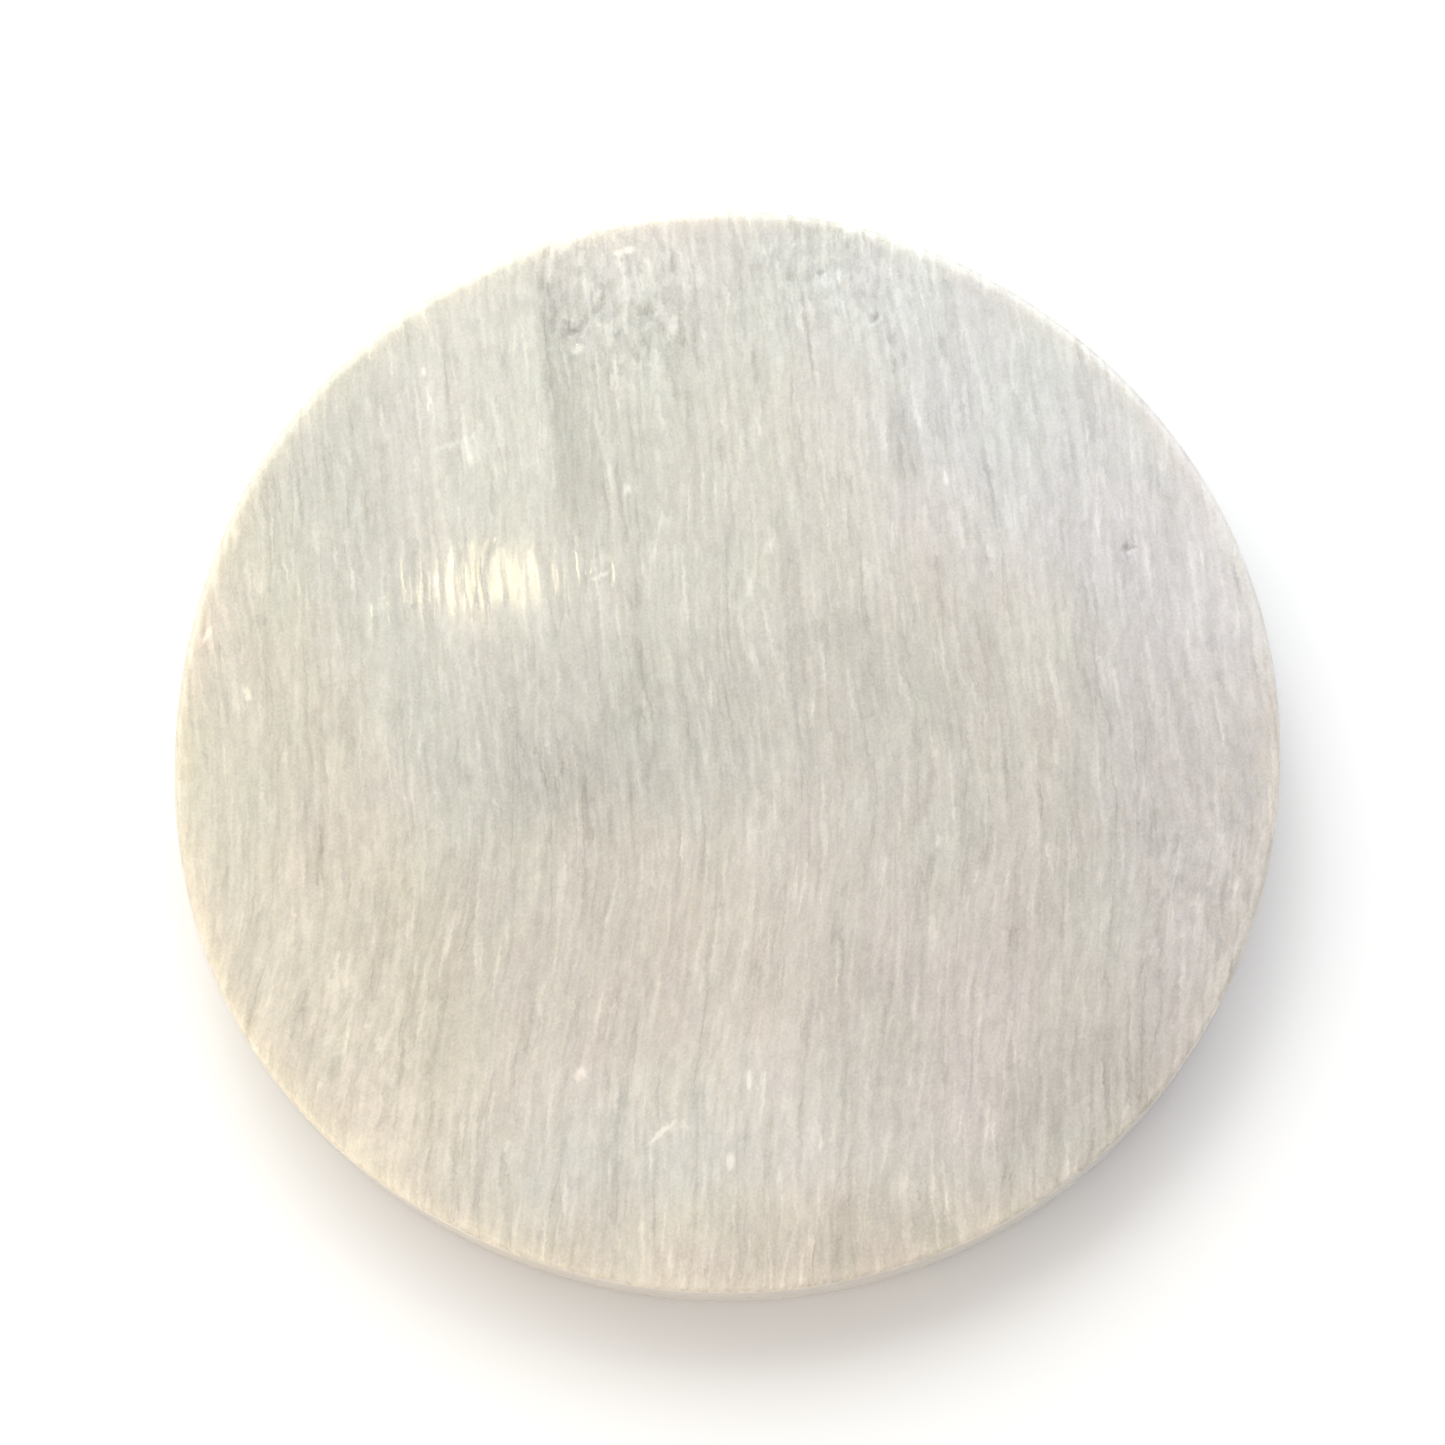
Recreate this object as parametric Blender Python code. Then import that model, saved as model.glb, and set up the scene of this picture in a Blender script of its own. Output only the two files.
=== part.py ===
"""Satin spar disc: a thin round plate cut from one piece of fibrous gypsum and polished.

Run with: blender --background --python part.py
Metres, +Z up. The origin is at the middle of the disc's footprint, on the face it rests on.
The stone's fibres run roughly along Y.
"""

import math

import bmesh
import bpy

# Driving sizes, in metres.
MEAN_DIAMETER = 0.080
THICKNESS = 0.008
EDGE_ROUND = 0.0005

# The disc is ground round by hand, so its rim rises and falls a little.
# Each wave is: lobes round the rim, height in metres, angle of a lobe's top in degrees.
RIM_WAVES = (
    (3, 0.000190, -28.0),
    (4, 0.000112, 31.0),
    (5, 0.000072, -1.0),
    (6, 0.000055, 20.0),
)

# How finely the round shapes are drawn.
RIM_POINTS = 360
EDGE_ROUND_SEGMENTS = 4
SHARP_ANGLE = math.radians(40.0)

# Polished satin spar: milky, slightly warm white.
STONE_COLOUR = (0.69, 0.65, 0.58)
STONE_ROUGHNESS = 0.32
STONE_METALLIC = 0.0


def remove_all_objects():
    """Empty the scene."""
    for item in list(bpy.data.objects):
        bpy.data.objects.remove(item, do_unlink=True)


def stone_material(name):
    """The polished stone, as one plain Principled material."""
    material = bpy.data.materials.new(name)
    material.use_nodes = True
    shader = material.node_tree.nodes["Principled BSDF"]
    shader.inputs["Base Color"].default_value = (*STONE_COLOUR, 1.0)
    shader.inputs["Roughness"].default_value = STONE_ROUGHNESS
    shader.inputs["Metallic"].default_value = STONE_METALLIC
    return material


def rim_radius(angle):
    """Distance from the middle of the disc to its wall, at an angle from +X in radians."""
    radius = MEAN_DIAMETER / 2
    for lobes, height, lobe_angle in RIM_WAVES:
        radius += height * math.cos(lobes * (angle - math.radians(lobe_angle)))
    return radius


def rim_outline():
    """Points along the wall, anticlockwise from above, with their box centred on the origin."""
    points = []
    for step in range(RIM_POINTS):
        angle = math.tau * step / RIM_POINTS
        radius = rim_radius(angle)
        points.append((radius * math.cos(angle), radius * math.sin(angle)))
    xs = [x for x, y in points]
    ys = [y for x, y in points]
    middle_x = (min(xs) + max(xs)) / 2
    middle_y = (min(ys) + max(ys)) / 2
    return [(x - middle_x, y - middle_y) for x, y in points]


def plate_mesh(name, outline, thickness):
    """A closed plate: the outline as a flat face on z = 0, extruded up to the thickness."""
    form = bmesh.new()
    corners = [form.verts.new((x, y, 0.0)) for x, y in outline]
    face = form.faces.new(corners)
    raised = bmesh.ops.extrude_face_region(form, geom=[face])
    raised_corners = [item for item in raised["geom"] if isinstance(item, bmesh.types.BMVert)]
    bmesh.ops.translate(form, verts=raised_corners, vec=(0.0, 0.0, thickness))
    bmesh.ops.recalc_face_normals(form, faces=form.faces)
    mesh = bpy.data.meshes.new(name)
    form.to_mesh(mesh)
    form.free()
    return mesh


def satin_spar_disc():
    """The whole object: one piece of stone with a flat back, a flat face and eased edges."""
    mesh = plate_mesh("satin_spar_disc", rim_outline(), THICKNESS)
    disc = bpy.data.objects.new("satin_spar_disc", mesh)
    bpy.context.scene.collection.objects.link(disc)
    mesh.materials.append(stone_material("satin_spar"))

    eased = disc.modifiers.new("eased_edges", "BEVEL")
    eased.width = EDGE_ROUND
    eased.segments = EDGE_ROUND_SEGMENTS
    eased.limit_method = "ANGLE"
    eased.angle_limit = SHARP_ANGLE

    mesh.shade_smooth()
    mesh.set_sharp_from_angle(angle=SHARP_ANGLE)
    return disc


def main():
    remove_all_objects()
    satin_spar_disc()


main()
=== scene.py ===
"""The looks of the satin spar disc: its polished, fibrous stone, its marks, and a soft studio.

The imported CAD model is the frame. One refined mesh stands for the CAD disc. It has the same
outline and thickness, with the small reliefs of a hand-polished stone: pits, hollows, splintered
cracks and a nibbled edge. Sizes in the tables and the helpers are millimetres; the scene is metres.
"""
import math

import bpy
import numpy as np
from mathutils import Matrix, Vector, geometry, noise


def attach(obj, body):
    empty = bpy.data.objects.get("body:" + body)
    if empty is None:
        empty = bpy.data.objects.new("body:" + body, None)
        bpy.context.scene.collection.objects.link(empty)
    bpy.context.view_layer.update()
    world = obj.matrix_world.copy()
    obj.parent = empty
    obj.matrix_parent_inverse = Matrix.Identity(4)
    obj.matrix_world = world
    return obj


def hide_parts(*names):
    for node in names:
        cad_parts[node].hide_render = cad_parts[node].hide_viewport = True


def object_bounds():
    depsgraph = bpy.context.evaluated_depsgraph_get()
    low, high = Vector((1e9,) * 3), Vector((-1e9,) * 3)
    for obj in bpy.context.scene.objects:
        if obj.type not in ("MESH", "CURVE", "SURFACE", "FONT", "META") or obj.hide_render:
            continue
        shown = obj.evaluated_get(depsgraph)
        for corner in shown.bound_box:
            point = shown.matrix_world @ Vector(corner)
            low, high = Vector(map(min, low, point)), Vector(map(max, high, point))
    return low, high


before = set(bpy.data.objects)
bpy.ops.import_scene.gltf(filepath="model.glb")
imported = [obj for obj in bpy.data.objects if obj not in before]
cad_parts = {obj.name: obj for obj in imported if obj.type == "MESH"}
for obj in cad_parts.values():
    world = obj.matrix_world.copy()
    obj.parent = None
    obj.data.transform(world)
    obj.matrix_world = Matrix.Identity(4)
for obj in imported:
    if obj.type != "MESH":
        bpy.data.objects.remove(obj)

CAD_NODE = "satin_spar_disc"
MM = 0.001
cad_low, cad_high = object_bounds()
THICKNESS = (cad_high.z - cad_low.z) / MM

# ---------------------------------------------------------------- the run of the fibres
# A fibre keeps one value of across(x, y). Fibres lean and fan a little. Going down, they bend at
# one height, and straighten slowly again lower down.
LEAN = 0.0341
BEND = 0.1203
BEND_Y = -8.7
BEND_SOFTNESS = 2.9
UNBEND = 0.0632
UNBEND_Y = -27.4
UNBEND_SOFTNESS = 8.0
FAN = -0.00037
FAN_CHANGE = 0.00002

# ---------------------------------------------------------------- mesh fineness
ACROSS_STEP = 0.17
ALONG_STEP = 0.75
UNDERSIDE_COARSENESS = 1.45
RIM_POINTS = 1080
EDGE_ROUND = 0.5
EDGE_RINGS = 5
WALL_RINGS = 14
RIM_CLEARANCE = 0.12
MARK_STEP = 0.11
MARK_REACH_ALONG = 0.8
MARK_REACH_SIDE = 0.9

# ---------------------------------------------------------------- relief, in millimetres
# Chips and bites show where their noise, times a gain, passes a start.
WAVE_DEPTH = 0.012
RIDGE_DEPTH = 0.004
CHIP_DEPTH = 0.05
CHIP_GAIN = 1.6
CHIP_START = 0.55
WALL_ROUGHNESS = 0.010
CORNER_BITE = 0.10
BITE_GAIN = 1.5
BITE_START = 0.6

# ---------------------------------------------------------------- marks in the face
# Each mark: kind, x, y, length, width, turn of its length from +Y in degrees (clockwise).
MARKS = (
    ("fleck", -34.2, 6.0, 1.1, 0.6, -20),
    ("fleck", -36.9, 10.6, 1.2, 0.3, 35),
    ("fleck", -8.1, 12.6, 1.6, 0.25, 70),
    ("fleck", -5.7, 18.9, 0.9, 0.5, 10),
    ("fleck", -12.2, -23.7, 1.0, 0.75, 60),
    ("fleck", -6.7, -28.2, 2.2, 0.35, 55),
    ("fleck", -2.1, -30.6, 1.0, 0.6, 0),
    ("fleck", 4.3, -30.0, 1.1, 0.35, 0),
    ("fleck", -0.3, -25.0, 1.3, 0.4, 5),
    ("fleck", -19.9, 29.2, 0.7, 0.3, 0),
    ("fleck", -19.7, 27.0, 2.1, 0.3, -3),
    ("fleck", -8.5, 29.9, 1.0, 0.5, 50),
    ("fleck", 11.1, 33.9, 1.3, 0.35, 0),
    ("fleck", -4.5, 37.2, 0.5, 1.6, 0),
    ("fleck", 17.6, 17.8, 1.2, 0.4, -10),
    ("crack", -18.4, 23.5, 3.4, 0.35, 73),
    ("crack", -17.0, 22.9, 2.2, 0.45, -5),
    ("thread", -3.1, 35.4, 2.6, 0.7, 10),
    ("thread", -7.5, 34.0, 3.2, 0.4, -6),
    ("thread", -6.2, 30.7, 1.6, 0.7, 0),
    ("thread", -5.8, 27.1, 4.2, 0.3, -4),
    ("thread", -7.2, 22.4, 6.5, 0.4, -8),
    ("thread", -2.9, 24.6, 2.8, 0.35, -6),
    ("thread", 15.9, 23.2, 5.5, 0.35, -6),
    ("thread", 20.6, 25.9, 6.0, 0.35, -7),
    ("thread", -5.3, -27.9, 1.2, 0.5, 100),
    ("slit", 4.4, 27.5, 3.0, 0.45, -3),
    ("slit", -3.4, 29.5, 2.6, 0.4, -14),
    ("slit", -4.1, 28.9, 0.9, 0.6, -10),
    ("slit", -3.5, 32.6, 1.2, 1.0, 0),
    ("slit", -6.5, 34.6, 1.0, 0.8, 0),
    ("slit", -6.7, 33.1, 1.4, 0.6, 30),
    ("slit", -4.3, 36.0, 1.6, 0.5, -5),
    ("slit", 0.1, 29.4, 3.4, 0.4, -6),
    ("slit", 8.4, 30.0, 8.5, 0.35, -3),
    ("slit", 14.6, 28.7, 1.2, 0.6, -15),
    ("slit", 15.3, 27.2, 1.3, 0.45, 0),
    ("slit", 18.3, 27.8, 2.2, 0.6, -6),
    ("slit", 10.5, 17.8, 1.7, 0.4, -12),
    ("pit", 9.9, 34.3, 0.6, 0.5, 0),
    ("pit", 13.4, 30.4, 0.8, 0.9, 0),
    ("pit", -9.1, 31.8, 1.0, 0.6, -25),
    ("pit", -7.9, 31.8, 1.1, 0.6, 30),
    ("pit", -8.6, 31.2, 0.6, 1.2, 0),
    ("pit", 30.4, 11.4, 0.4, 1.3, 0),
)
MARK_MILK = {"fleck": 1.0, "crack": 0.5, "thread": 0.45, "slit": -0.55, "pit": -0.5}
MARK_DEPTH = {"fleck": 0.01, "crack": 0.02, "thread": 0.0, "slit": 0.015, "pit": 0.05}
RAGGED_ACROSS = 0.16
RAGGED_ALONG = 0.30

# Patches are soft, so each oval is drawn this much larger than its length and width.
PATCH_SPREAD = 1.5

# Broad clear (negative) and milky (positive) patches: strength, x, y, length, width, turn. The milky
# patch round and below the glint is painted sheen.
PATCHES = (
    (0.25, -16.5, 26.0, 16.0, 7.0, 0),
    (-0.5, 14.8, 21.0, 4.0, 1.6, -3),
    (-0.30, -8.0, 1.0, 9.0, 28.0, 0),
    (-0.12, -12.0, -10.0, 14.0, 14.0, 0),
    (-0.22, 32.0, -16.0, 22.0, 14.0, 10),
    (-0.14, 16.0, -6.0, 22.0, 14.0, 0),
    (0.25, -22.0, -30.0, 10.0, 14.0, -30),
    (0.12, -35.0, 6.0, 14.0, 8.0, 0),
    (0.22, 23.0, 26.0, 24.0, 22.0, -30),
    (0.25, 36.5, 7.0, 12.0, 5.0, 0),
    (0.18, -4.0, 38.0, 5.0, 22.0, 0),
    (0.22, -1.0, -28.0, 9.0, 12.0, 0),
    (-0.34, 22.5, -29.5, 10.0, 8.0, 40),
    (-0.22, 7.5, -22.0, 9.0, 6.0, 0),
    (0.22, -23.0, -1.0, 10.0, 8.0, 0),
    (0.22, -32.0, -16.0, 22.0, 7.0, -25),
    (-0.2, 8.0, 37.0, 4.0, 8.0, 0),
    # Painted sheen: a soft glow round and below the glint, drawn as milkier stone.
    (0.22, -14.5, 7.0, 8.0, 9.0, 0),
    (0.16, 7.0, -1.0, 7.0, 7.0, 0),
    (-0.3, 7.5, -37.0, 5.0, 6.0, 0),
    (0.18, -7.5, -37.0, 5.0, 6.0, 0),
)

# Creamy (positive) and bluish (negative) patches: strength, x, y, length, width, turn. They are partly
# the stone's own tint and partly painted light, warm at the left and bottom and cool at the right and
# top.
CREAM_AND_PAINTED_LIGHT = (
    (1.0, -34.0, -8.0, 50.0, 15.0, -15),
    (0.9, -3.0, -39.0, 8.0, 36.0, 0),
    (-1.0, 31.0, 22.0, 34.0, 17.0, -50),
    (0.55, -13.0, -15.5, 14.0, 28.0, 0),
    (-0.6, 33.0, 3.0, 34.0, 10.0, 0),
    (-0.4, 6.0, 34.0, 8.0, 22.0, 0),
    (0.6, -32.0, -18.0, 16.0, 8.0, -25),
    (-0.4, 20.0, 18.0, 12.0, 12.0, 0),
)

# Mauve (positive) and greenish (negative) patches: strength, x, y, length, width, turn. They are
# partly the stone's own tints and stains, low in the middle, and partly painted coloured light,
# greenish at the upper left and pale purple at the right.
MAUVE_AND_PAINTED_LIGHT = (
    (-0.9, -18.0, 24.0, 22.0, 34.0, 30),
    (-0.5, -2.0, -28.0, 8.0, 12.0, 0),
    (0.7, 27.0, -14.0, 44.0, 26.0, 0),
    (0.8, 2.0, -38.5, 4.0, 12.0, 0),
    (0.9, 2.0, -22.0, 14.0, 30.0, 0),
    (0.7, 34.0, 0.0, 30.0, 7.0, 0),
    (-0.8, -35.0, 5.0, 22.0, 7.0, 0),
)

# A clear window: it starts sharply at one fibre, and fades out to the right of it.
WINDOW_EDGE = (-11.15, 28.0)
WINDOW_WIDTH = 4.6
WINDOW_EDGE_WIDTH = 0.25
WINDOW_Y = (14.0, 37.5)
WINDOW_LOW_FADE = 6.0
WINDOW_HIGH_FADE = 3.0
WINDOW_CLEARNESS = 0.45

# The wall and its eased edges are made clearer, and so darker, than the faces: painted shade, which
# tones down the light on the rim.
WALL_PAINTED_SHADE = 0.35

# Bruised places, where the fibres are broken short: strength, x, y, length, width, turn.
BRUISES = (
    (1.0, -5.0, 34.0, 9.0, 9.0, 0),
    (0.9, 10.5, 34.5, 7.0, 9.0, 0),
    (0.6, -28.0, -20.0, 12.0, 6.0, -20),
    (0.6, 35.0, -16.0, 14.0, 7.0, -15),
)


def fibre_drift(y):
    """How far a fibre that starts on the middle line has moved across, at a height y."""
    bend = BEND * np.sqrt((y - BEND_Y) ** 2 + BEND_SOFTNESS**2)
    unbend = UNBEND * np.sqrt((y - UNBEND_Y) ** 2 + UNBEND_SOFTNESS**2)
    return LEAN * y - bend + unbend


def fibre_spread(y):
    """How far apart the fibres are at a height y, where they are 1 apart at y = 0."""
    return np.exp(FAN * y + FAN_CHANGE * y * y / 2)


def across(x, y):
    """Which fibre passes through a point."""
    return (x - fibre_drift(y)) / fibre_spread(y)


def crosswise(x, y):
    """The unit direction square to the fibres at points of the face, as an array of x, y, z."""
    step = 0.1
    fibre = across(x, y)
    later = fibre * fibre_spread(y + step) + fibre_drift(y + step)
    square = np.stack([np.full_like(x, step), x - later, np.zeros_like(x)], axis=1)
    return square / np.linalg.norm(square, axis=1)[:, None]


# ---------------------------------------------------------------- the outline, from the CAD node
def cad_wall():
    """Angles and radii of the CAD disc's wall, from its widest ring of vertices."""
    points = np.array([v.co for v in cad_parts[CAD_NODE].data.vertices]) / MM
    radii = np.hypot(points[:, 0], points[:, 1])
    level = points[radii.argmax(), 2]
    ring = points[np.abs(points[:, 2] - level) < 0.001]
    angles = np.arctan2(ring[:, 1], ring[:, 0])
    order = angles.argsort()
    return angles[order], np.hypot(ring[:, 0], ring[:, 1])[order]


WALL_ANGLES, WALL_RADII = cad_wall()


def wall_radius(angle):
    """The wall's distance from the middle, at any angles in radians."""
    return np.interp(angle, WALL_ANGLES, WALL_RADII, period=math.tau)


def inside_depth(x, y):
    """How far points of the plane are inside the wall."""
    return wall_radius(np.arctan2(y, x)) - np.hypot(x, y)


# ---------------------------------------------------------------- fields over the stone
SEED_SHIFT = 17.3
SPOT_LEVEL = 1.6
SPOT_FALL = 1.1


def smooth(value):
    """0 to 1 with soft ends."""
    value = np.clip(value, 0.0, 1.0)
    return value * value * (3.0 - 2.0 * value)


def stone_noise(points, cell, seed, octaves=3):
    """Fractal noise at each point, for cells of the given size along x, y and z."""
    size = np.array(cell)
    moved = points / size + seed * SEED_SHIFT
    return np.array([noise.fractal(p, 0.8, 2.0, octaves) for p in moved.tolist()])


def spot(x, y, at_x, at_y, length, width, turn):
    """1 in the middle of an oval, a half on its rim, and 0 about half as far out again."""
    angle = math.radians(turn)
    dx = x - at_x
    dy = y - at_y
    along = dx * math.sin(angle) + dy * math.cos(angle)
    side = dx * math.cos(angle) - dy * math.sin(angle)
    reach = np.sqrt((along / (length / 2)) ** 2 + (side / (width / 2)) ** 2)
    return smooth(SPOT_LEVEL - SPOT_FALL * reach)


def over_marks(points):
    """The milkiness and the depth that the marks give each point. Their outlines are ragged."""
    ragged = stone_noise(points, (0.5, 0.8, 0.5), 6)
    x = points[:, 0] + RAGGED_ACROSS * ragged
    y = points[:, 1] + RAGGED_ALONG * ragged
    milk = np.zeros_like(x)
    depth = np.zeros_like(x)
    for kind, *place in MARKS:
        shape = spot(x, y, *place)
        milk += MARK_MILK[kind] * shape
        depth += MARK_DEPTH[kind] * shape
    return milk, depth


def over_patches(x, y, patches):
    """The summed strength of broad soft patches."""
    total = np.zeros_like(x)
    for strength, at_x, at_y, length, width, turn in patches:
        long = length * PATCH_SPREAD
        wide = width * PATCH_SPREAD
        total += strength * spot(x, y, at_x, at_y, long, wide, turn)
    return total


def clear_window(x, y):
    """1 at the sharp edge of the clear window, falling to 0 across it and past its ends."""
    side = across(x, y) - across(*WINDOW_EDGE)
    low_end, high_end = WINDOW_Y
    ends = smooth((y - low_end) / WINDOW_LOW_FADE) * smooth((high_end - y) / WINDOW_HIGH_FADE)
    return smooth(side / WINDOW_EDGE_WIDTH) * smooth(1.15 - side / WINDOW_WIDTH) * ends


def grain_points(points):
    """The grain's own coordinates: across the fibres, along them, and up."""
    x, y, z = points.T
    return np.stack([across(x, y), y, z], axis=1)


# ---------------------------------------------------------------- the mesh
def face_points(coarseness, rng):
    """Scattered points of a flat face, closer together across the fibres than along them."""
    step = ACROSS_STEP * coarseness
    stride = ALONG_STEP * coarseness
    rows = []
    reach = WALL_RADII.max() * 1.2
    lines = np.arange(-reach, reach, step)
    for number, y in enumerate(np.arange(-reach, reach, stride)):
        fibre = lines + step / 2 * (number % 2) + rng.uniform(-0.2, 0.2, len(lines)) * step
        height = y + rng.uniform(-0.25, 0.25, len(lines)) * stride
        x = fibre * fibre_spread(height) + fibre_drift(height)
        rows.append(np.stack([x, height], axis=1))
    points = np.concatenate(rows)
    keep = inside_depth(points[:, 0], points[:, 1]) > EDGE_ROUND + RIM_CLEARANCE
    return points[keep]


def mark_points():
    """Extra points round each small mark, so that its shape is in the mesh."""
    groups = []
    for _, at_x, at_y, length, width, turn in MARKS:
        angle = math.radians(turn)
        half_long = length * MARK_REACH_ALONG
        half_side = width * MARK_REACH_SIDE
        longs = np.arange(-half_long, half_long + MARK_STEP, MARK_STEP)
        sides = np.arange(-half_side, half_side + MARK_STEP, MARK_STEP)
        along, side = [grid.ravel() for grid in np.meshgrid(longs, sides)]
        x = at_x + along * math.sin(angle) + side * math.cos(angle)
        y = at_y + along * math.cos(angle) - side * math.sin(angle)
        groups.append(np.stack([x, y], axis=1))
    points = np.concatenate(groups)
    keep = inside_depth(points[:, 0], points[:, 1]) > EDGE_ROUND + RIM_CLEARANCE
    return points[keep]


def flat_face(ring, points):
    """Triangles over a face, as (x, y) points with the ring's first, and index triples.

    The triangles are found where the fibres are straight, so that they lie along the fibres. The
    ring is dented there, and the triangles that fill the dents come back upside down.
    """
    plan = np.concatenate([ring, points])
    squeezed = np.stack([across(plan[:, 0], plan[:, 1]) / ACROSS_STEP, plan[:, 1] / ALONG_STEP], 1)
    border = list(range(len(ring)))
    corners = [Vector(pair) for pair in squeezed.tolist()]
    inside_border = 1
    made = geometry.delaunay_2d_cdt(corners, [], [border], inside_border, 1e-7, False)
    flat = np.array([tuple(v) for v in made[0]])
    y = flat[:, 1] * ALONG_STEP
    x = flat[:, 0] * ACROSS_STEP * fibre_spread(y) + fibre_drift(y)
    plan = np.stack([x, y], axis=1)
    faces = np.array(made[2])
    first, second, third = plan[faces.T]
    side = second - first
    other = third - first
    upright = side[:, 0] * other[:, 1] - side[:, 1] * other[:, 0] > 0.0
    return plan, faces[upright].tolist()


def edge_profile():
    """(inset, height) of each ring from the top face's border down to the underside's."""
    arc = [math.pi / 2 * step / EDGE_RINGS for step in range(EDGE_RINGS + 1)]
    upper = [(EDGE_ROUND * (1 - math.sin(a)), THICKNESS - EDGE_ROUND * (1 - math.cos(a))) for a in arc]
    heights = np.linspace(THICKNESS - EDGE_ROUND, EDGE_ROUND, WALL_RINGS + 1)[1:-1]
    wall = [(0.0, height) for height in heights]
    lower = [(inset, THICKNESS - height) for inset, height in reversed(upper)]
    return upper + wall + lower


def stone_form():
    """The disc's vertices in millimetres, before relief, and its faces."""
    rng = np.random.default_rng(7)
    angles = np.arange(RIM_POINTS) * math.tau / RIM_POINTS
    direction = np.stack([np.cos(angles), np.sin(angles)], axis=1)
    radii = wall_radius(angles)
    ring = direction * (radii - EDGE_ROUND)[:, None]
    top, top_faces = flat_face(ring, np.concatenate([face_points(1.0, rng), mark_points()]))
    under, under_faces = flat_face(ring, face_points(UNDERSIDE_COARSENESS, rng))

    profile = edge_profile()
    layers = [np.column_stack([top, np.full(len(top), THICKNESS)])]
    starts = [0]
    count = len(top)
    for inset, height in profile[1:-1]:
        plan = direction * (radii - inset)[:, None]
        layers.append(np.column_stack([plan, np.full(RIM_POINTS, height)]))
        starts.append(count)
        count += RIM_POINTS
    starts.append(count)
    layers.append(np.column_stack([under, np.zeros(len(under))]))

    faces = [tuple(face) for face in top_faces]
    for upper, lower in zip(starts, starts[1:]):
        for step in range(RIM_POINTS):
            after = (step + 1) % RIM_POINTS
            faces.append((upper + after, upper + step, lower + step, lower + after))
    faces += [tuple(starts[-1] + corner for corner in reversed(face)) for face in under_faces]
    return np.concatenate(layers), faces


def carve(points):
    """Moves the form's vertices inwards for polish waves, bruises, marks and the nibbled edge."""
    x, y, z = points.T
    grain = grain_points(points)
    upness = smooth((z - (THICKNESS - EDGE_ROUND)) / EDGE_ROUND)
    downness = smooth((EDGE_ROUND - z) / EDGE_ROUND)
    milk, depth = over_marks(points)
    bruise = over_patches(x, y, BRUISES)

    waves = stone_noise(points, (16.0, 22.0, 16.0), 1)
    ridges = stone_noise(grain, (0.6, 7.0, 0.6), 2)
    chips = stone_noise(grain, (0.7, 1.2, 0.7), 3)
    dips = WAVE_DEPTH * (waves + 1.0) + RIDGE_DEPTH * (ridges + 1.0)
    dips += CHIP_DEPTH * bruise * smooth(chips * CHIP_GAIN - CHIP_START)
    carved = points.copy()
    carved[:, 2] -= upness * (dips + depth)
    carved[:, 2] += downness * dips

    # The wall is ground flat, so its relief is small, and deepest where the fibres end on it.
    radius = np.hypot(x, y)
    outward = np.stack([x, y], axis=1) / np.maximum(radius, 1.0)[:, None]
    wallness = smooth(1.0 - inside_depth(x, y) / EDGE_ROUND)
    rough = stone_noise(grain, (0.5, 5.0, 0.5), 4)
    bitten = stone_noise(points, (2.2, 2.2, 1.4), 5)
    corner = np.maximum(upness, downness) * wallness
    bite = wallness * WALL_ROUGHNESS * (rough + 1.0)
    bite += corner * CORNER_BITE * smooth(bitten * BITE_GAIN - BITE_START)
    carved[:, :2] -= outward * bite[:, None]
    return carved, milk, bruise


def add_attribute(mesh, name, kind, values):
    """A named value on each vertex, for the material to read."""
    layer = mesh.attributes.new(name, kind, "POINT")
    key = "vector" if kind == "FLOAT_VECTOR" else "value"
    layer.data.foreach_set(key, np.asarray(values, dtype=np.float32).ravel())


def stone_piece():
    """The shown disc, with the attributes its material reads."""
    form, faces = stone_form()
    carved, milk, bruise = carve(form)
    x, y, z = form.T
    mesh = bpy.data.meshes.new("polished_stone")
    mesh.from_pydata((carved * MM).tolist(), [], faces)
    mesh.shade_smooth()
    add_attribute(mesh, "grain", "FLOAT_VECTOR", grain_points(form))
    add_attribute(mesh, "crosswise", "FLOAT_VECTOR", crosswise(x, y))
    on_top = smooth((z - THICKNESS / 2) / (THICKNESS / 2))
    # The patches include one of painted sheen, round and below the glint.
    milk = milk + over_patches(x, y, PATCHES) - WINDOW_CLEARNESS * clear_window(x, y)
    # Painted shade: the wall and its eased edges are darkened all round.
    milk = on_top * milk - WALL_PAINTED_SHADE * smooth(1.0 - inside_depth(x, y) / EDGE_ROUND)
    add_attribute(mesh, "milk", "FLOAT", milk)
    add_attribute(mesh, "bruise", "FLOAT", on_top * bruise)
    # The broad tints below are partly painted coloured light.
    add_attribute(mesh, "cream_and_painted_light", "FLOAT", over_patches(x, y, CREAM_AND_PAINTED_LIGHT))
    add_attribute(mesh, "mauve_and_painted_light", "FLOAT", over_patches(x, y, MAUVE_AND_PAINTED_LIGHT))
    piece = bpy.data.objects.new("polished_stone", mesh)
    bpy.context.scene.collection.objects.link(piece)
    return piece


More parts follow.
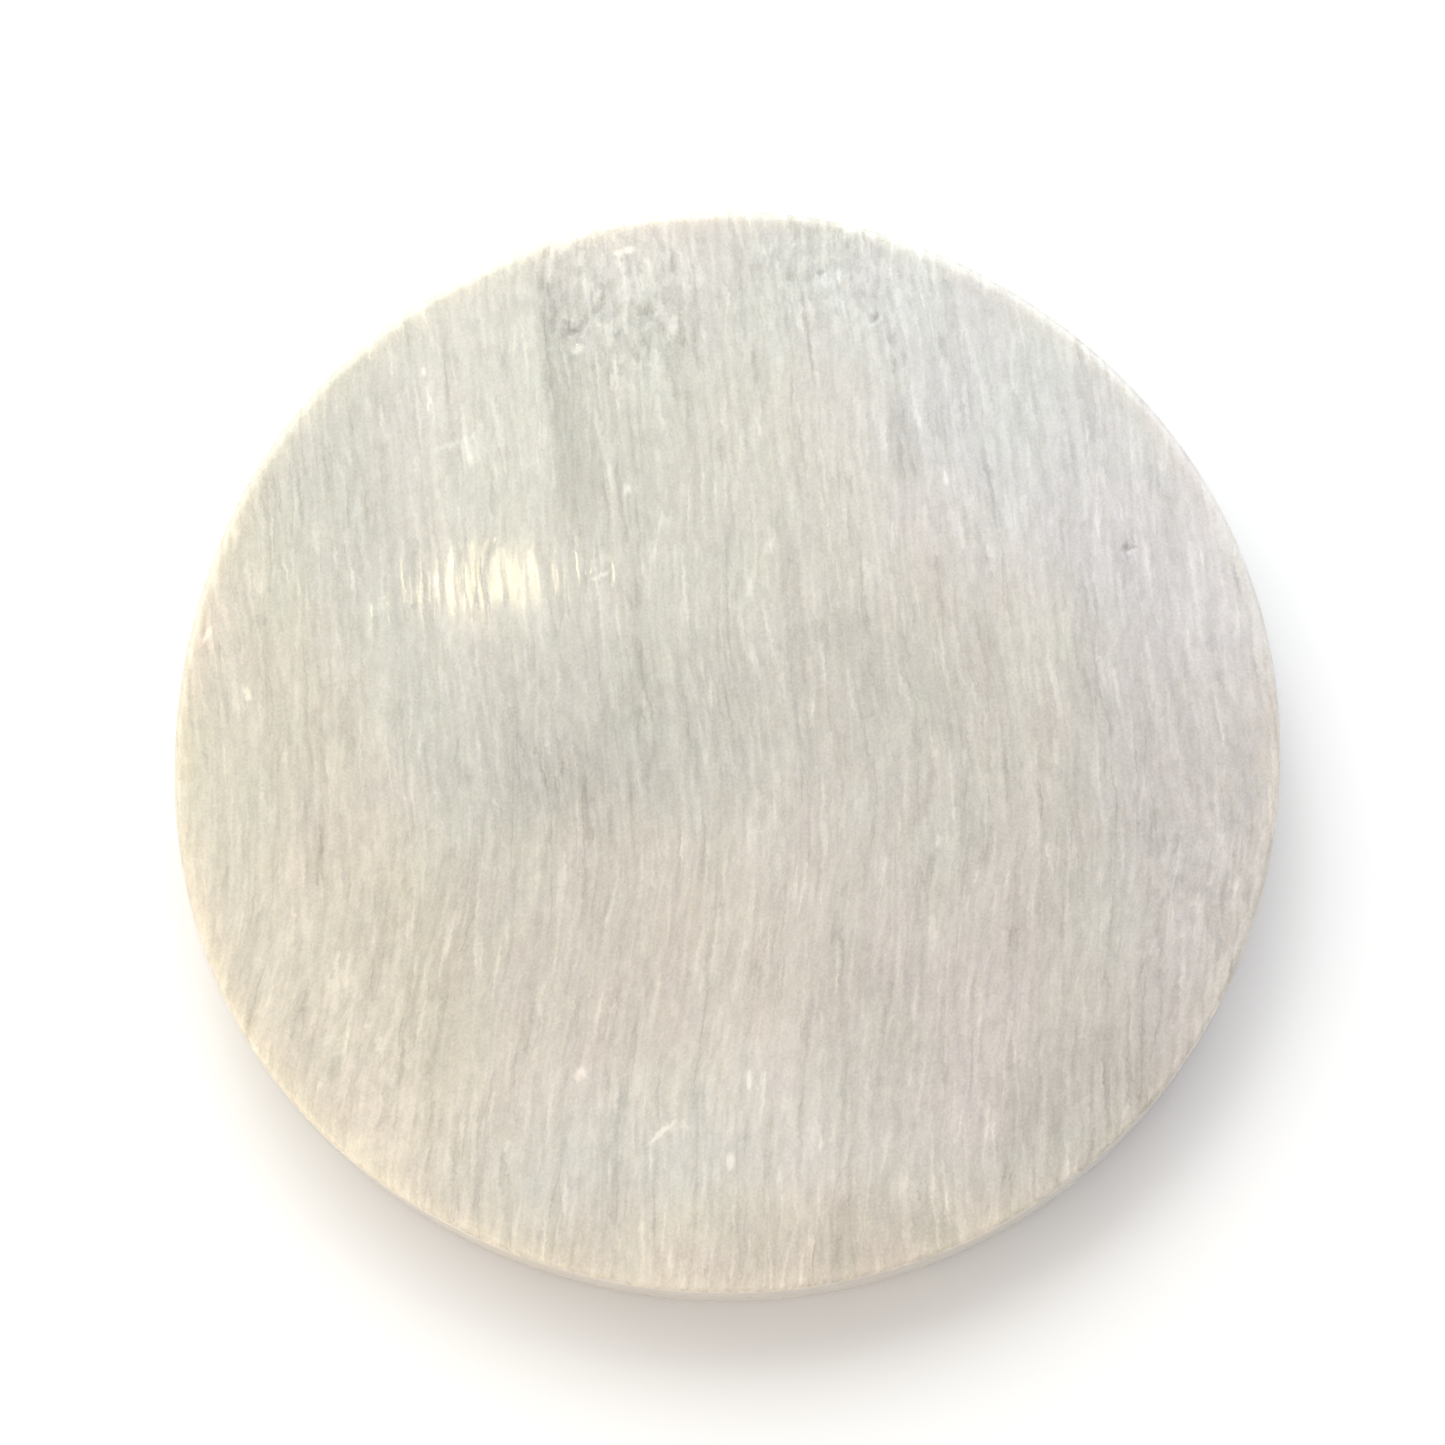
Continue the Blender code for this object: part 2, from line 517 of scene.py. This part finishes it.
# ---------------------------------------------------------------- material
class Graph:
    """Short calls for making a material's nodes."""

    def __init__(self, name):
        self.material = bpy.data.materials.new(name)
        self.material.use_nodes = True
        self.tree = self.material.node_tree
        self.shader = self.tree.nodes["Principled BSDF"]

    def node(self, kind, **settings):
        made = self.tree.nodes.new(kind)
        for name, value in settings.items():
            setattr(made, name, value)
        return made

    def put(self, socket, value):
        """Links an output to a socket, or sets the socket's own value."""
        if isinstance(value, bpy.types.NodeSocket):
            self.tree.links.new(value, socket)
        else:
            socket.default_value = value

    def attribute(self, name, output):
        return self.node("ShaderNodeAttribute", attribute_name=name).outputs[output]

    def math(self, operation, first, second=0.0, third=0.0):
        made = self.node("ShaderNodeMath", operation=operation)
        for socket, value in zip(made.inputs, (first, second, third)):
            self.put(socket, value)
        return made.outputs[0]

    def vector(self, operation, first, second):
        made = self.node("ShaderNodeVectorMath", operation=operation)
        self.put(made.inputs[0], first)
        self.put(made.inputs[1], second)
        return made.outputs[0]

    def noise(self, where, cell, seed, detail=2.0, roughness=0.5):
        """Noise from -0.5 to 0.5 or so, in cells of the given size in millimetres."""
        scaled = self.vector("DIVIDE", where, cell)
        moved = self.vector("ADD", scaled, (seed * 7.31, seed * 3.17, seed * 5.03))
        made = self.node("ShaderNodeTexNoise")
        self.put(made.inputs["Vector"], moved)
        self.put(made.inputs["Scale"], 1.0)
        self.put(made.inputs["Detail"], detail)
        self.put(made.inputs["Roughness"], roughness)
        return self.math("SUBTRACT", made.outputs[0], 0.5)

    def remap(self, value, low, high):
        """0 to 1, with soft ends, as a value goes from low to high."""
        made = self.node("ShaderNodeMapRange", interpolation_type="SMOOTHSTEP")
        for socket, number in zip(made.inputs, (value, low, high)):
            self.put(socket, number)
        return made.outputs[0]

    def mix(self, share, first, second, blend="MIX"):
        made = self.node("ShaderNodeMix", data_type="RGBA", blend_type=blend)
        made.clamp_factor = True
        self.put(made.inputs[0], share)
        self.put(made.inputs[6], first)
        self.put(made.inputs[7], second)
        return made.outputs[2]


def weighted_sum(graph, terms):
    """The sum of (value, weight) pairs."""
    total = 0.0
    for value, weight in terms:
        total = graph.math("MULTIPLY_ADD", value, weight, total)
    return total


CLEAR_STONE = (0.392, 0.374, 0.347, 1.0)
MILKY_STONE = (0.846, 0.816, 0.778, 1.0)
GREEN_CAST = (0.970, 1.0, 0.965, 1.0)
MAUVE_CAST = (1.0, 0.955, 0.970, 1.0)
COOL_CAST = (0.925, 0.965, 1.0, 1.0)
WARM_CAST = (1.0, 0.965, 0.875, 1.0)
BUMP_HEIGHT = 0.024 * MM
MEAN_MILKINESS = 0.48
MEAN_ROUGHNESS = 0.36
STONE_FINISH = (
    ("Anisotropic", 0.75),
    ("IOR", 1.52),
    ("Subsurface Weight", 1.0),
    ("Subsurface Radius", (1.0, 0.86, 0.66)),
    ("Subsurface Scale", 3.2 * MM),
    ("Coat Weight", 0.55),
    ("Coat Roughness", 0.065),
)


def wavering(graph, straight):
    """The grain's coordinates, moved so that fibres waver as they run and have ragged sides."""
    slow = graph.noise(straight, (6.0, 13.0, 6.0), 1, detail=1.0)
    quick = graph.noise(straight, (1.3, 2.6, 1.3), 2, detail=1.0)
    ragged = graph.noise(straight, (0.35, 0.5, 0.35), 11, detail=1.0)
    shift = graph.node("ShaderNodeCombineXYZ")
    graph.put(shift.inputs[0], weighted_sum(graph, ((slow, 1.6), (quick, 0.3), (ragged, 0.35))))
    graph.put(shift.inputs[1], graph.math("MULTIPLY", ragged, 1.2))
    return graph.vector("ADD", straight, shift.outputs[0])


def thin_lines(graph, value, half_width):
    """1 along the lines where a noise passes 0, falling to 0 within a small value of them."""
    return graph.remap(graph.math("ABSOLUTE", value), half_width, 0.0)


def with_tints_and_painted_light(graph, stone, straight, grain):
    """The stone with faint green and pale purple clouds, warmer and cooler fibres, and broad tints.
    The broad tints are partly the stone's own tints and stains, and partly painted coloured light:
    warm at the left and bottom, cool at the right and top, greenish at the upper left and pale purple
    at the right.
    """
    # These broad tints are partly the stone's own tints and stains, and partly painted coloured light:
    # greenish at the upper left, pale purple at the right.
    mauve_and_painted_light = graph.attribute("mauve_and_painted_light", "Fac")
    tint = graph.noise(straight, (9.0, 16.0, 9.0), 10, detail=5.0, roughness=0.72)
    clouds_and_painted_light_share = graph.remap(graph.math("MULTIPLY_ADD", mauve_and_painted_light, 0.16, tint), -0.38, 0.38)
    clouds_and_painted_light_colour = graph.mix(clouds_and_painted_light_share, GREEN_CAST, MAUVE_CAST)
    stone_with_clouds_and_painted_light = graph.mix(1.0, stone, clouds_and_painted_light_colour, blend="MULTIPLY")

    # These broad tints are partly the stone's own tint and partly painted light: warm at the left and
    # bottom, cool at the right and top.
    cream_and_painted_light = graph.attribute("cream_and_painted_light", "Fac")
    warmth = graph.noise(grain, (2.0, 5.0, 2.0), 13, detail=2.0, roughness=0.65)
    warmth_and_painted_light_share = weighted_sum(graph, ((cream_and_painted_light, 0.42), (warmth, 0.32)))
    warmth_and_painted_light_colour = graph.mix(graph.math("ADD", warmth_and_painted_light_share, 0.5), COOL_CAST, WARM_CAST)
    return graph.mix(1.0, stone_with_clouds_and_painted_light, warmth_and_painted_light_colour, blend="MULTIPLY")


def stone_material():
    """Polished satin spar: streaks of clear and milky fibres, silky across the grain."""
    graph = Graph("satin_spar")
    straight = graph.attribute("grain", "Vector")
    bruise = graph.attribute("bruise", "Fac")
    # The milk attribute is mostly milkiness, but it also holds painted shade on the wall and eased
    # edges, and painted sheen round the glint.
    milk = graph.attribute("milk", "Fac")
    grain = wavering(graph, straight)

    bands = graph.noise(grain, (4.5, 45.0, 4.5), 3, detail=2.0)
    strands = graph.noise(grain, (0.85, 19.0, 0.85), 4, detail=2.0, roughness=0.6)
    fine = graph.noise(grain, (0.47, 4.0, 0.47), 5, detail=1.0, roughness=0.6)
    specks = graph.noise(straight, (0.17, 0.2, 0.17), 6, detail=1.0)
    mottle = graph.noise(grain, (0.55, 1.1, 0.55), 12, detail=2.0)
    splinters = graph.noise(grain, (0.55, 4.4, 0.55), 7, detail=1.0)
    slits = graph.noise(grain, (1.1, 11.0, 1.1), 8, detail=1.0)
    threads = graph.noise(grain, (1.6, 20.0, 1.6), 14, detail=1.0)
    broken = graph.noise(grain, (0.8, 1.3, 0.8), 9, detail=3.0, roughness=0.6)
    bruised = graph.math("MULTIPLY", bruise, broken)

    bright_splinters = graph.remap(splinters, 0.09, 0.20)
    in_clear_strands = graph.remap(strands, 0.05, -0.12)
    dark_slits = graph.math("MULTIPLY", thin_lines(graph, slits, 0.03), in_clear_strands)
    in_splinters = graph.remap(splinters, -0.08, 0.08)
    bright_threads = graph.math("MULTIPLY", thin_lines(graph, threads, 0.022), in_splinters)
    tone = weighted_sum(
        graph,
        (
            (bands, 0.06),
            (strands, 0.39),
            (fine, 0.42),
            (specks, 0.37),
            (mottle, 0.37),
            (bright_splinters, 0.12),
            (bright_threads, 0.14),
            (dark_slits, -0.15),
            (bruised, 1.1),
            (milk, 0.40),
        ),
    )
    stone = graph.mix(graph.math("ADD", tone, MEAN_MILKINESS), CLEAR_STONE, MILKY_STONE)

    gloss = weighted_sum(graph, ((strands, 0.10), (fine, 0.10), (bruise, 0.10)))
    relief = ((strands, 0.6), (fine, 0.35), (dark_slits, -0.15), (bruised, 0.8))
    bump = graph.node("ShaderNodeBump")
    graph.put(bump.inputs["Height"], weighted_sum(graph, relief))
    graph.put(bump.inputs["Distance"], BUMP_HEIGHT)
    graph.put(bump.inputs["Strength"], 1.0)

    sockets = graph.shader.inputs
    graph.put(sockets["Base Color"], with_tints_and_painted_light(graph, stone, straight, grain))
    graph.put(sockets["Roughness"], graph.math("ADD", gloss, MEAN_ROUGHNESS))
    graph.put(sockets["Normal"], bump.outputs[0])
    graph.put(sockets["Coat Normal"], bump.outputs[0])
    graph.put(sockets["Tangent"], graph.attribute("crosswise", "Vector"))
    for name, value in STONE_FINISH:
        graph.put(sockets[name], value)
    return graph.material


# ---------------------------------------------------------------- studio
def plain_material(name, colour, roughness):
    """A single plain surface, for the floor."""
    graph = Graph(name)
    graph.put(graph.shader.inputs["Base Color"], (*colour, 1.0))
    graph.put(graph.shader.inputs["Roughness"], roughness)
    return graph.material


def floor():
    """A wide pale floor at the disc's resting height."""
    half = 1.5
    corners = [(-half, -half, 0), (half, -half, 0), (half, half, 0), (-half, half, 0)]
    mesh = bpy.data.meshes.new("floor")
    mesh.from_pydata(corners, [], [(0, 1, 2, 3)])
    mesh.materials.append(plain_material("pale_floor", (0.92, 0.92, 0.92), 0.9))
    ground = bpy.data.objects.new("floor", mesh)
    bpy.context.scene.collection.objects.link(ground)


def area_lamp(name, place, aim, size, watts, colour):
    """A soft rectangular lamp at a place, facing a point. Places and sizes are millimetres."""
    light = bpy.data.lights.new(name, "AREA")
    light.shape = "RECTANGLE"
    light.size = size[0] * MM
    light.size_y = size[1] * MM
    light.energy = watts
    light.color = colour
    lamp = bpy.data.objects.new(name, light)
    lamp.location = Vector(place) * MM
    lamp.rotation_euler = (Vector(aim) - Vector(place)).to_track_quat("-Z", "Y").to_euler()
    bpy.context.scene.collection.objects.link(lamp)


def sky(colour, strength):
    """An even pale light from all round."""
    world = bpy.data.worlds.new("studio")
    world.use_nodes = True
    background = world.node_tree.nodes["Background"]
    background.inputs["Color"].default_value = (*colour, 1.0)
    background.inputs["Strength"].default_value = strength
    bpy.context.scene.world = world


# The soft lamps, all facing the origin: name, place, size, watts, colour.
SOFT_LAMPS = (
    ("window", (-260, 420, 420), (640, 640), 2.6, (0.97, 1.0, 0.965)),
    ("back", (80, 430, 420), (500, 500), 1.56, (0.93, 0.98, 1.0)),
    ("back_right", (340, 330, 300), (300, 300), 0.22, (0.80, 0.86, 1.0)),
    ("front", (60, -760, 230), (1000, 400), 0.9, (1.0, 0.93, 0.88)),
    ("low_left", (-330, -150, 130), (240, 200), 0.42, (1.0, 0.80, 0.56)),
)

# Where the glint shows on the face, and how high its lamp hangs.
GLINT = (-16.3, 12.6, THICKNESS)
GLINT_LAMP_HEIGHT = 300.0

# The tilt, roll and lens come from a fit to the photo's outline, for a disc taken as 80 by 8 mm and
# a distance picked. The photo fixes neither the thickness, the tilt nor the distance.
CAMERA_DISTANCE = 300.0
CAMERA_TILT = math.radians(12.81)
CAMERA_ROLL = math.radians(-4.71)
CAMERA_AIM = (-0.13, 1.84, 4.0)
CAMERA_LENS = 102.3


def camera():
    """Looks down on the disc, tilted a little towards -Y and turned a little about its own axis."""
    back = Vector((0.0, -math.sin(CAMERA_TILT), math.cos(CAMERA_TILT)))
    level = Vector((1.0, 0.0, 0.0))
    upright = back.cross(level)
    right = level * math.cos(CAMERA_ROLL) + upright * math.sin(CAMERA_ROLL)
    up = back.cross(right)
    eye = Vector(CAMERA_AIM) + back * CAMERA_DISTANCE
    data = bpy.data.cameras.new("camera")
    data.lens = CAMERA_LENS
    data.clip_start = 0.01
    view = bpy.data.objects.new("camera", data)
    turned = Matrix((right, up, back)).transposed().to_4x4()
    view.matrix_world = Matrix.Translation(eye * MM) @ turned
    bpy.context.scene.collection.objects.link(view)
    bpy.context.scene.camera = view
    return eye


def mirrored_spot(eye, point, height):
    """Where a lamp must be, at a height, for the eye to see it reflected at a point of the face."""
    ray = Vector(point) - eye
    rise = Vector((ray.x, ray.y, -ray.z))
    return Vector(point) + rise * ((height - point[2]) / rise.z)


def studio():
    """A pale sky and floor, soft lamps all round, and one small lamp for the yellowish glint."""
    eye = camera()
    floor()
    sky((1.0, 0.985, 0.98), 0.60)
    for name, place, size, watts, colour in SOFT_LAMPS:
        area_lamp(name, place, (0, 0, 0), size, watts, colour)
    place = mirrored_spot(eye, GLINT, GLINT_LAMP_HEIGHT)
    area_lamp("glint", place, GLINT, (12, 4.5), 0.0070, (1.0, 0.88, 0.50))


# ---------------------------------------------------------------- assembly
stone = stone_piece()
stone.data.materials.append(stone_material())
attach(stone, "root")
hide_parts(CAD_NODE)
studio()
bpy.context.scene.view_settings.view_transform = "Standard"
